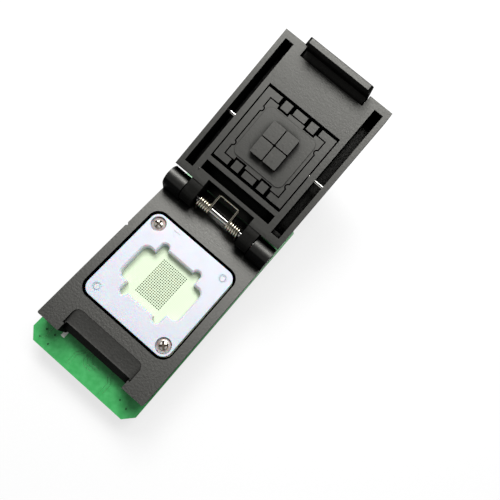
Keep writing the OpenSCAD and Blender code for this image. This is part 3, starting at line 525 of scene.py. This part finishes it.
def spring_half(side):
    """Points of half the lid spring, from the middle of its bridge to its foot."""
    top_y, top_z = ARM * math.cos(LEAN), COIL_R + ARM * math.sin(LEAN)
    bend = 0.45 * MM
    points = [(0, top_y, top_z), (COIL_INNER - bend, top_y, top_z)]
    for turn in range(1, 6):
        angle = math.pi / 2 * turn / 6
        drop = bend * (1 - math.cos(angle))
        points.append((COIL_INNER - bend + bend * math.sin(angle),
                       top_y - drop * math.cos(LEAN), top_z - drop * math.sin(LEAN)))
    points += [(COIL_INNER, share * top_y, COIL_R + share * ARM * math.sin(LEAN))
               for share in (0.7, 0.4, 0.15)]
    start = math.pi / 2 + LEAN
    for step in range(int(STEPS * COIL_TURNS) + 1):
        angle = start + 2 * math.pi * step / STEPS
        points.append((COIL_INNER + (COIL_OUTER - COIL_INNER) * step / STEPS / COIL_TURNS,
                       COIL_R * math.cos(angle), COIL_R * math.sin(angle)))
    points += [(COIL_OUTER, -COIL_R - 0.05 * MM, -0.9 * COIL_R),
               (COIL_OUTER, -COIL_R - 0.1 * MM, -2.65 * MM)]
    return [(side * x, HINGE_Y + y, HINGE_Z + z) for x, y, z in points]


for side, label in ((-1, "left"), (1, "right")):
    half = grown("lid_spring_" + label, line_mesh("spring_path_" + label, spring_half(side)), wire_tree,
                 {"Wire Radius": SPRING_WIRE / 2, "Sides": 14, "Finish": drawn})
    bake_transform(half)
    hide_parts("hinge_spring")


# ---------------------------------------------------------------- lid
# The upper half of the clamshell, from the same tool shop as the base: one deep moulding in
# black glass-filled plastic with the pusher's pocket, side slots and hinge lugs.
lid_textured = black_plastic("glass_filled_plastic_spark_textured_hinge_shaded", "#0b0b0a", "#161615",
                             0.46, 0.5 * MM, 0.07 * MM)
# Painted shade: the sheen drops to an eighth on the hinge lugs, near the hinge axis, and comes back by five
# millimetres out
tree = lid_textured.node_tree
from_axis = add(tree, "ShaderNodeVectorMath", {"operation": "SUBTRACT"},
                _0=add(tree, "ShaderNodeTexCoord").outputs["Object"], _1=(0, HINGE_Y, HINGE_Z))
across = add(tree, "ShaderNodeVectorMath", {"operation": "MULTIPLY"},
             _0=from_axis.outputs["Vector"], _1=(0, 1, 1))
reach = add(tree, "ShaderNodeVectorMath", {"operation": "LENGTH"}, _0=across.outputs["Vector"])
hinge_painted_shade = add(tree, "ShaderNodeMapRange", Value=reach.outputs["Value"],
              From_Min=3.0 * MM, From_Max=5.0 * MM, To_Min=0.12, To_Max=1.0)
level = tree.nodes["Principled BSDF"].inputs["Specular IOR Level"]
sheen_with_hinge_shade = add(tree, "ShaderNodeMath", {"operation": "MULTIPLY"},
             _0=level.links[0].from_socket, _1=hinge_painted_shade.outputs["Result"])
tree.links.new(sheen_with_hinge_shade.outputs["Value"], level)
moulded("lid", "lid_moulding", lid_textured, 0.18 * MM)


# ---------------------------------------------------------------- pusher
# Frame on two pivot pins in the lid, with a floating plate in its window. Both are moulded
# in a finer black plastic; four pads on the plate press on the chip.
fine_black = black_plastic("glass_filled_plastic_fine_matt", "#0d0d0c", "#181817",
                           0.46, 0.5 * MM, 0.06 * MM)
moulded("pusher_frame", "pusher_frame_moulding", fine_black, 0.1 * MM)
moulded("pressure_plate", "pressure_plate_moulding", fine_black, 0.1 * MM)


# ---------------------------------------------------------------- latch
# Hook across the far end of the lid, on a pin and two small springs. It snaps under the
# ledge of the base's notch when the lid is pressed down.
moulded("latch", "latch_moulding", fine_black, 0.3 * MM, 3)


# ---------------------------------------------------------------- small springs
# Compression springs of thin drawn wire: four push the pressure plate out of the lid, two
# hold the latch shut. Each stands in a blind hole.
OPEN_ANGLE = math.radians(-161.2)


def on_lid(x, y, z):
    """Row place of a point that is given in millimetres on the closed lid."""
    turned = Matrix.Rotation(OPEN_ANGLE, 3, "X") @ Vector((x * MM, y * MM, (z - 2.95) * MM))
    return turned + Vector((0, HINGE_Y, HINGE_Z))


coil_tree = bpy.data.node_groups.new("coil_springs", "GeometryNodeTree")
coil_tree.interface.new_socket("Places", in_out="INPUT", socket_type="NodeSocketGeometry")
for label in ("Tilt", "Height", "Coil Radius", "Wire Radius", "Turns"):
    coil_tree.interface.new_socket(label, in_out="INPUT", socket_type="NodeSocketFloat")
coil_tree.interface.new_socket("Finish", in_out="INPUT", socket_type="NodeSocketMaterial")
coil_tree.interface.new_socket("Springs", in_out="OUTPUT", socket_type="NodeSocketGeometry")
given = add(coil_tree, "NodeGroupInput")
helix = add(coil_tree, "GeometryNodeCurveSpiral", Resolution=24, Rotations=given.outputs["Turns"],
            Start_Radius=given.outputs["Coil Radius"], End_Radius=given.outputs["Coil Radius"],
            Height=given.outputs["Height"])
section = add(coil_tree, "GeometryNodeCurvePrimitiveCircle", Resolution=10,
              Radius=given.outputs["Wire Radius"])
swept = add(coil_tree, "GeometryNodeCurveToMesh", Curve=helix.outputs["Curve"],
            Profile_Curve=section.outputs["Curve"], Fill_Caps=True)
tilt = add(coil_tree, "ShaderNodeCombineXYZ", X=given.outputs["Tilt"])
spread = add(coil_tree, "GeometryNodeInstanceOnPoints", Points=given.outputs["Places"],
             Instance=swept.outputs["Mesh"], Rotation=tilt.outputs["Vector"])
real = add(coil_tree, "GeometryNodeRealizeInstances", Geometry=spread.outputs["Instances"])
coated = add(coil_tree, "GeometryNodeSetMaterial", Geometry=real.outputs["Geometry"],
             Material=given.outputs["Finish"])
add(coil_tree, "NodeGroupOutput", Springs=coated.outputs["Geometry"])


def small_springs(name, feet, tilt_angle, height, coil, wire, turns, node):
    """Like springs on those feet, in place of a node."""
    points = bpy.data.meshes.new(name + "_feet")
    points.from_pydata(feet, [], [])
    springs = grown(name, points, coil_tree,
                    {"Tilt": tilt_angle, "Height": height * MM, "Coil Radius": (coil - wire) / 2 * MM,
                     "Wire Radius": wire / 2 * MM, "Turns": turns, "Finish": drawn})
    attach(springs, "lid")
    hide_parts(node)
    return springs


# The feet stand clear of the plate by as much as its rocking lifts it
PLATE_SPRING_WIRE, PLATE_SPRING_FOOT, PLATE_SPRING_HEAD = 0.32, 1.84, 6.28
plate_feet = [on_lid(x, y - 20, PLATE_SPRING_FOOT + PLATE_SPRING_WIRE / 2)
              for x in (-5, 5) for y in (-5.075, 5.075)]
plate_springs = small_springs("plate_spring_set", plate_feet, OPEN_ANGLE,
                              PLATE_SPRING_HEAD - PLATE_SPRING_FOOT - PLATE_SPRING_WIRE,
                              2.2, PLATE_SPRING_WIRE, 5.0, "plate_springs")
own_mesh(plate_springs)
LATCH_SPRING_WIRE = 0.3
latch_feet = [on_lid(x, -37.32 - LATCH_SPRING_WIRE / 2, 6.3) for x in (-5, 5)]
latch_springs = small_springs("latch_spring_pair", latch_feet, OPEN_ANGLE + math.pi / 2,
                              2.91 - LATCH_SPRING_WIRE, 2.0, LATCH_SPRING_WIRE, 4.0,
                              "latch_springs")
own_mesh(latch_springs)


# ---------------------------------------------------------------- lid dowel
# Bright end of a thin steel dowel that keeps the lid's bay wall on centre; it is pressed in
# and its end is slightly domed.
DOWEL_R = 0.3 * MM
work = bmesh.new()
rings = [(DOWEL_R, -0.4), (DOWEL_R, 0.005), (DOWEL_R * 0.8, 0.02), (DOWEL_R * 0.4, 0.03)]
loops = []
for radius, height in rings:
    loops.append([work.verts.new((radius * math.cos(turn * math.pi / 8),
                                  radius * math.sin(turn * math.pi / 8),
                                  height * MM)) for turn in range(16)])
for low, high in zip(loops, loops[1:]):
    for i in range(16):
        work.faces.new((low[i], low[(i + 1) % 16], high[(i + 1) % 16], high[i]))
work.faces.new(loops[-1])
work.faces.new(list(reversed(loops[0])))
dowel_mesh = bpy.data.meshes.new("lid_dowel")
work.to_mesh(dowel_mesh)
work.free()
dowel_mesh.transform(Matrix.Translation(on_lid(-10.25, -5.4, 0))
                     @ Matrix.Rotation(OPEN_ANGLE + math.pi, 4, "X"))
dowel_mesh.shade_smooth()
dowel_mesh.set_sharp_from_angle(angle=math.radians(50))
dowel_mesh.materials.append(ground)
lid_dowel = bpy.data.objects.new("lid_dowel", dowel_mesh)
scene.collection.objects.link(lid_dowel)
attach(lid_dowel, "lid")


# ---------------------------------------------------------------- studio
# White paper under and behind the object, one large soft lamp on the left past the hinge
# and a weaker one overhead. Their mirror images give the flat black faces their sheen.


def background_rays(tree):
    """Socket that is 1 for rays from the camera, a mirror-like surface or glass."""
    rays = add(tree, "ShaderNodeLightPath")
    mirrored = add(tree, "ShaderNodeMath", {"operation": "MAXIMUM"},
                   _0=rays.outputs["Is Camera Ray"], _1=rays.outputs["Is Glossy Ray"])
    every = add(tree, "ShaderNodeMath", {"operation": "MAXIMUM"},
                _0=mirrored.outputs["Value"], _1=rays.outputs["Is Transmission Ray"])
    return every.outputs["Value"]


paper, tree, shader, place = new_finish("seamless_paper_white", Roughness=0.9)
fibres = add(tree, "ShaderNodeTexNoise", Vector=place, Scale=1500.0, Detail=2.0)
tone = two_tone(tree, fibres.outputs["Fac"], "#e9e9e9", "#efefef")
tree.links.new(tone.outputs["Color"], shader.inputs["Base Color"])
glow = add(tree, "ShaderNodeEmission", Color=(1, 1, 1, 1), Strength=1.0)
share = add(tree, "ShaderNodeMath", {"operation": "MULTIPLY"},
            _0=background_rays(tree), _1=0.7)
blend = add(tree, "ShaderNodeMixShader", Fac=share.outputs["Value"],
            _1=shader.outputs["BSDF"], _2=glow.outputs["Emission"])
tree.links.new(blend.outputs["Shader"], tree.nodes["Material Output"].inputs["Surface"])
FLOOR_Z = cad_box[0][2] - 0.01 * MM
FLOOR_HALF = 0.6
floor_mesh = bpy.data.meshes.new("floor")
floor_mesh.from_pydata([(x * FLOOR_HALF, y * FLOOR_HALF, FLOOR_Z)
                        for x, y in ((-1, -1), (1, -1), (1, 1), (-1, 1))], [], [(0, 1, 2, 3)])
floor_mesh.materials.append(paper)
floor = bpy.data.objects.new("floor", floor_mesh)
scene.collection.objects.link(floor)

world = bpy.data.worlds.new("studio")
world.use_nodes = True
scene.world = world
tree = world.node_tree
# White paper walls all round, seen as white; overhead the studio is darker
aim = add(tree, "ShaderNodeSeparateXYZ", Vector=add(tree, "ShaderNodeTexCoord").outputs["Generated"])
wall = add(tree, "ShaderNodeMapRange", Value=aim.outputs["Z"], From_Min=0.35, From_Max=0.75,
           To_Min=1.0, To_Max=0.1)
level = add(tree, "ShaderNodeMix", {"data_type": "FLOAT"}, Factor=background_rays(tree),
            _2=0.33, _3=wall.outputs["Result"])
tree.links.new(level.outputs[0], tree.nodes["Background"].inputs["Strength"])
tree.nodes["Background"].inputs["Color"].default_value = (1, 1, 1, 1)


def soft_lamp(name, place, aim, size, power):
    """Square soft box that points at a spot."""
    lamp_data = bpy.data.lights.new(name, "AREA")
    lamp_data.shape = "RECTANGLE"
    lamp_data.size, lamp_data.size_y = size
    lamp_data.energy = power
    lamp = bpy.data.objects.new(name, lamp_data)
    scene.collection.objects.link(lamp)
    lamp.location = place
    lamp.rotation_euler = (Vector(aim) - Vector(place)).to_track_quat("-Z", "Y").to_euler()
    return lamp


soft_lamp("lamp_hinge_side", (-0.112, 0.160, 0.280), (0, 0.01, 0.01), (0.14, 0.14), 0.94)
soft_lamp("lamp_overhead", (0.030, 0.125, 0.310), (0, 0.04, 0.02), (0.11, 0.11), 0.5)
